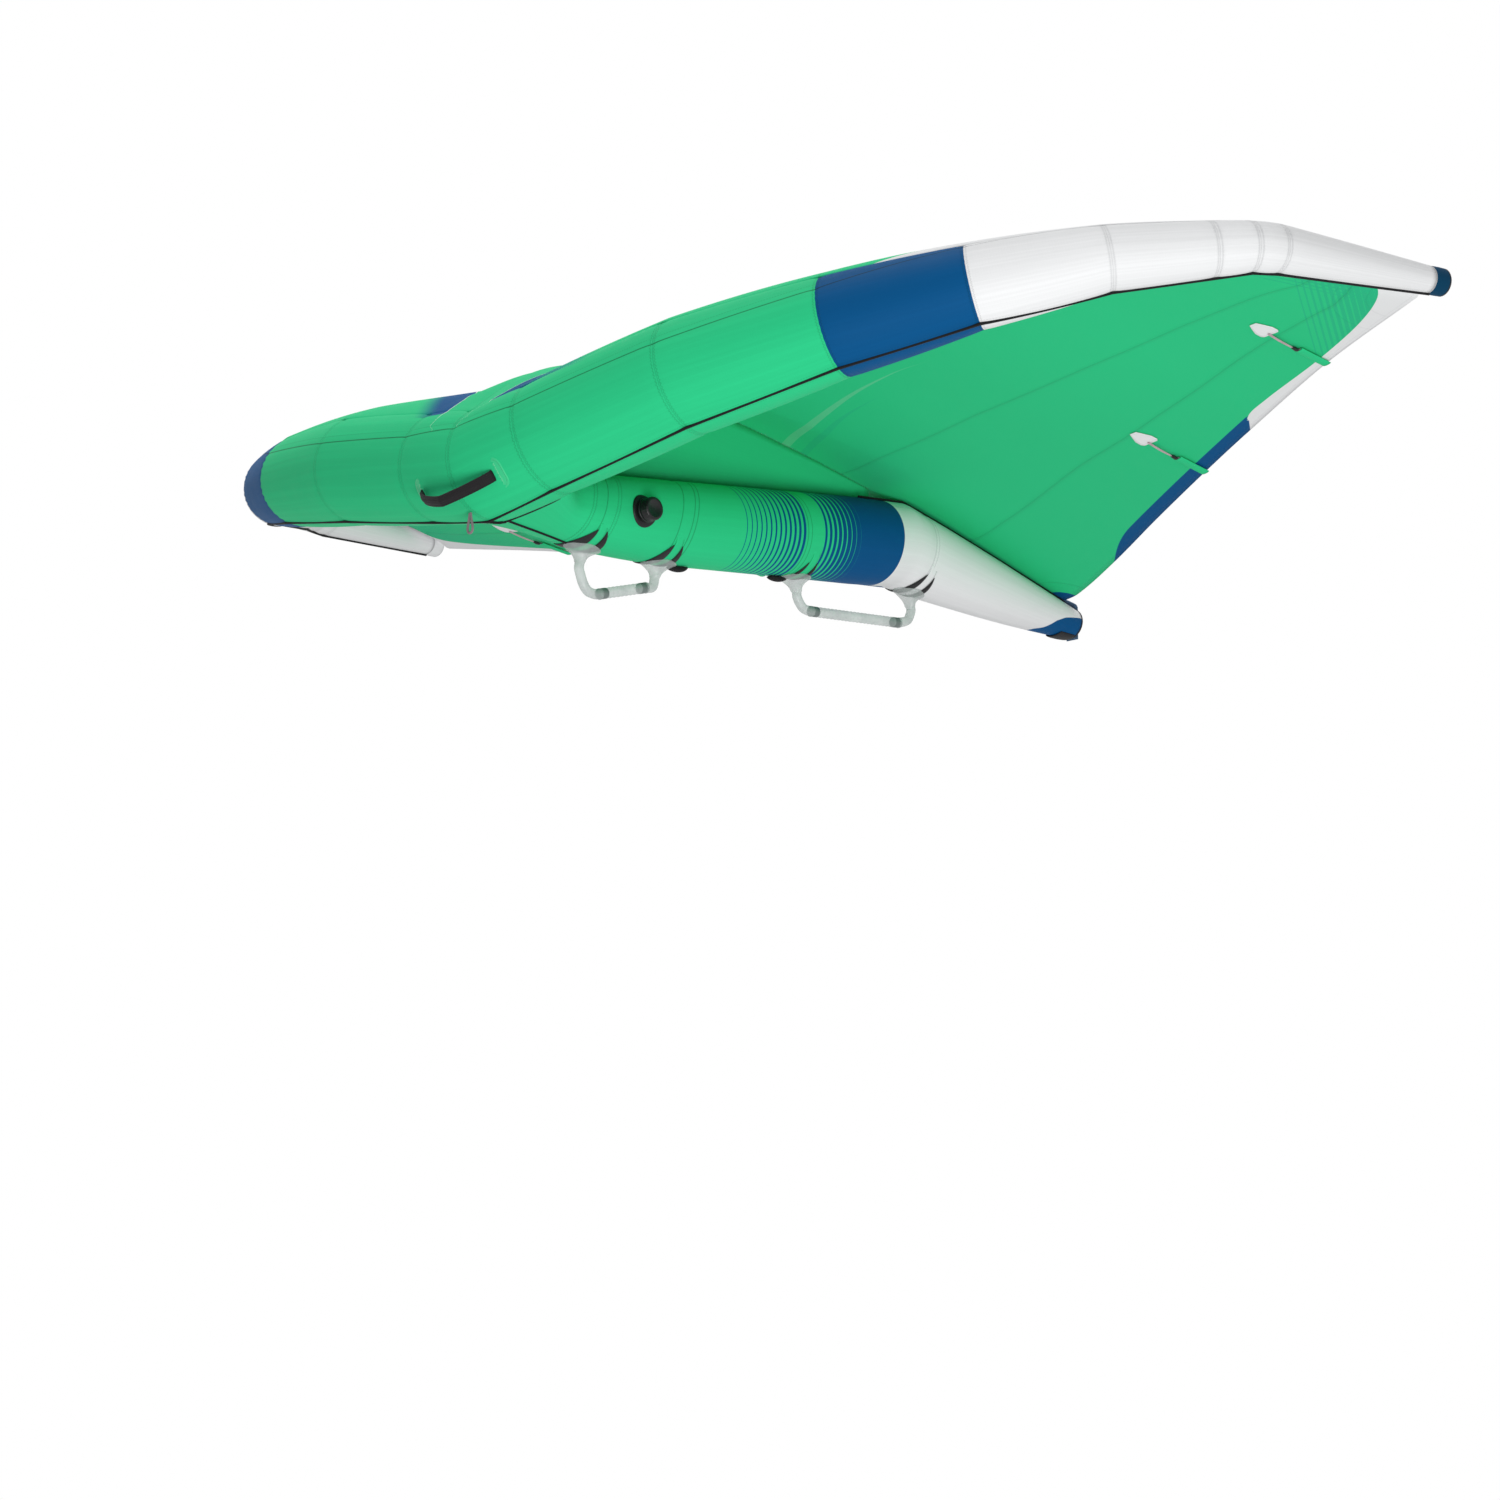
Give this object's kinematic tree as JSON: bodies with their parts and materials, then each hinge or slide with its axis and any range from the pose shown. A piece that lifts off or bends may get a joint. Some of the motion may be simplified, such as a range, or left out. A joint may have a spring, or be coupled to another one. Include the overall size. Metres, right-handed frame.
{
  "type": "wingfoil wing",
  "caption": "Hand-held inflatable wing for foiling: bent leading edge tube, centre strut with grip bars, cambered cloth sail, air bladders and valve.",
  "frame": {"origin": "middle of the front handle's grip bar, on the wing's plane of symmetry", "axes": "+X along the span to the side that carries the valve, +Y from the nose to the trailing edge, +Z from the handles up to the sail"},
  "size_m": [3.2348, 2.0511, 0.6075],
  "materials": {
    "green_cloth": "matte woven",
    "white_cloth": "matte woven",
    "blue_cloth": "matte woven",
    "bladder_film": "thin soft film",
    "black_rubber": "satin",
    "black_plastic": "satin",
    "black_webbing": "woven webbing",
    "blue_webbing": "woven webbing",
    "pale_moulding": "satin moulded",
    "pale_cord": "braided cord",
    "fibre": "glass fibre strip"
  },
  "bodies": {
    "wing": {"batten_inner_left": "fibre", "batten_inner_right": "fibre", "batten_line_inner_left": "black_webbing", "batten_line_inner_right": "black_webbing", "batten_line_outer_left": "black_webbing", "batten_line_outer_right": "black_webbing", "batten_outer_left": "fibre", "batten_outer_right": "fibre", "batten_patch_inner_left": "white_cloth", "batten_patch_inner_right": "white_cloth", "batten_patch_outer_left": "white_cloth", "batten_patch_outer_right": "white_cloth", "batten_sleeve_inner_left": "green_cloth", "batten_sleeve_inner_right": "green_cloth", "batten_sleeve_outer_left": "green_cloth", "batten_sleeve_outer_right": "green_cloth", "canopy": "green_cloth", "centre_web": "green_cloth", "front_handle_bar": "pale_moulding", "front_handle_front_leg": "pale_moulding", "front_handle_front_pad_front": "black_rubber", "front_handle_front_pad_rear": "black_rubber", "front_handle_front_strap": "green_cloth", "front_handle_rear_leg": "pale_moulding", "front_handle_rear_pad_front": "black_rubber", "front_handle_rear_pad_rear": "black_rubber", "front_handle_rear_strap": "green_cloth", "grab_handle": "black_webbing", "grab_handle_patch_left": "green_cloth", "grab_handle_patch_right": "green_cloth", "leading_edge_bladder": "bladder_film", "leading_edge_sleeve": "green_cloth", "line_tab_1": "black_webbing", "line_tab_2": "black_webbing", "link_hose": "bladder_film", "rear_handle_bar": "pale_moulding", "rear_handle_front_leg": "pale_moulding", "rear_handle_front_pad_front": "black_rubber", "rear_handle_front_pad_rear": "black_rubber", "rear_handle_front_strap": "green_cloth", "rear_handle_rear_leg": "pale_moulding", "rear_handle_rear_pad_front": "black_rubber", "rear_handle_rear_pad_rear": "black_rubber", "rear_handle_rear_strap": "green_cloth", "strut_bladder": "bladder_film", "strut_end_lip": "black_rubber", "strut_end_pad": "black_rubber", "strut_sleeve": "green_cloth", "tip_cap_left": "blue_cloth", "tip_cap_right": "blue_cloth", "tip_plug_left": "black_rubber", "tip_plug_right": "black_rubber", "valve_flange": "black_rubber", "valve_insert": "black_plastic"},
    "valve_cap": {"valve_cap": "black_plastic"},
    "valve_flap": {"valve_flap": "black_rubber"},
    "leash_loop": {"leash_loop": "pale_cord"},
    "strut_end_strap": {"strut_end_strap": "blue_webbing"}
  },
  "joints": [
    {"name": "valve_cap_turn", "type": "hinge", "parent": "wing", "child": "valve_cap", "pos_m": [0.093, -0.009, 0.165], "axis": [1, 0, 0], "range_deg": [0, 90]},
    {"name": "valve_flap_open", "type": "hinge", "parent": "wing", "child": "valve_flap", "pos_m": [0.0687, -0.009, 0.1839], "axis": [0, 1, 0], "range_deg": [0, 60]},
    {"name": "leash_loop_swing", "type": "hinge", "parent": "wing", "child": "leash_loop", "pos_m": [0, -0.4261, 0.1036], "axis": [1, 0, 0], "range_deg": [-55, 55]},
    {"name": "strut_end_strap_lift", "type": "hinge", "parent": "wing", "child": "strut_end_strap", "pos_m": [0, 1.427, 0.2348], "axis": [1, 0, 0], "range_deg": [0, 100]}
  ]
}
